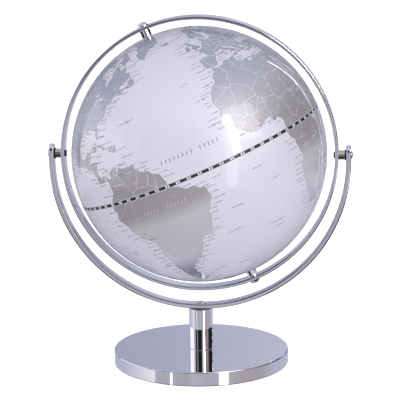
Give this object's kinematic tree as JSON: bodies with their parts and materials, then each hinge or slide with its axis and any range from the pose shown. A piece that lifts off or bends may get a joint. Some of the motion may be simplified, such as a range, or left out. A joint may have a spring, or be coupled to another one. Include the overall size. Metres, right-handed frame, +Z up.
{
  "type": "gimbal-mounted desk globe",
  "caption": "Desk globe that spins on a leaning axis inside a tilting meridian ring, held by a half-round arc on a round weighted base.",
  "frame": {"origin": "on the table under the middle of the round base", "axes": "+Z up; +X to the right along the tilt pivots; -Y towards the viewer, with the north pole leaning to -X"},
  "size_m": [0.2396, 0.2002, 0.2773],
  "materials": {
    "chrome": "polished plating",
    "cast_iron": "bare casting",
    "pad_rubber": "matt foam rubber",
    "zinc_steel": "bright zinc plated",
    "dark_steel": "black oxide",
    "black_nylon": "moulded",
    "inner_plastic": "moulded",
    "globe_shell": "pearl and metallic silver print under clear gloss",
    "printed_tape": "printed black and white"
  },
  "bodies": {
    "stand": {"base_cover": "chrome", "base_weight": "cast_iron", "base_pad": "pad_rubber", "base_washer": "zinc_steel", "base_bolt": "zinc_steel", "stem": "chrome", "stem_lower_plug": "zinc_steel", "stem_upper_plug": "zinc_steel", "support_arc": "chrome", "arc_screw": "chrome", "left_pivot_bush": "black_nylon", "right_pivot_bush": "black_nylon"},
    "ring": {"meridian_ring": "chrome", "left_pivot_spacer": "chrome", "left_pivot_screw": "chrome", "left_pivot_nut": "dark_steel", "right_pivot_spacer": "chrome", "right_pivot_screw": "chrome", "right_pivot_nut": "dark_steel", "north_pole_pin": "chrome", "north_pole_sleeve": "chrome", "south_pole_pin": "chrome", "south_pole_sleeve": "chrome"},
    "globe": {"north_hemisphere": "globe_shell", "south_hemisphere": "globe_shell", "joint_ring": "inner_plastic", "equator_tape": "printed_tape", "north_pole_bush": "inner_plastic", "south_pole_bush": "inner_plastic"}
  },
  "joints": [
    {"name": "ring_tilt", "type": "hinge", "parent": "stand", "child": "ring", "pos_m": [0, 0, 0.1685], "axis": [1, 0, 0], "continuous": true},
    {"name": "globe_spin", "type": "hinge", "parent": "ring", "child": "globe", "pos_m": [0, 0, 0.1685], "axis": [-0.3939, 0, 0.9191], "continuous": true}
  ]
}
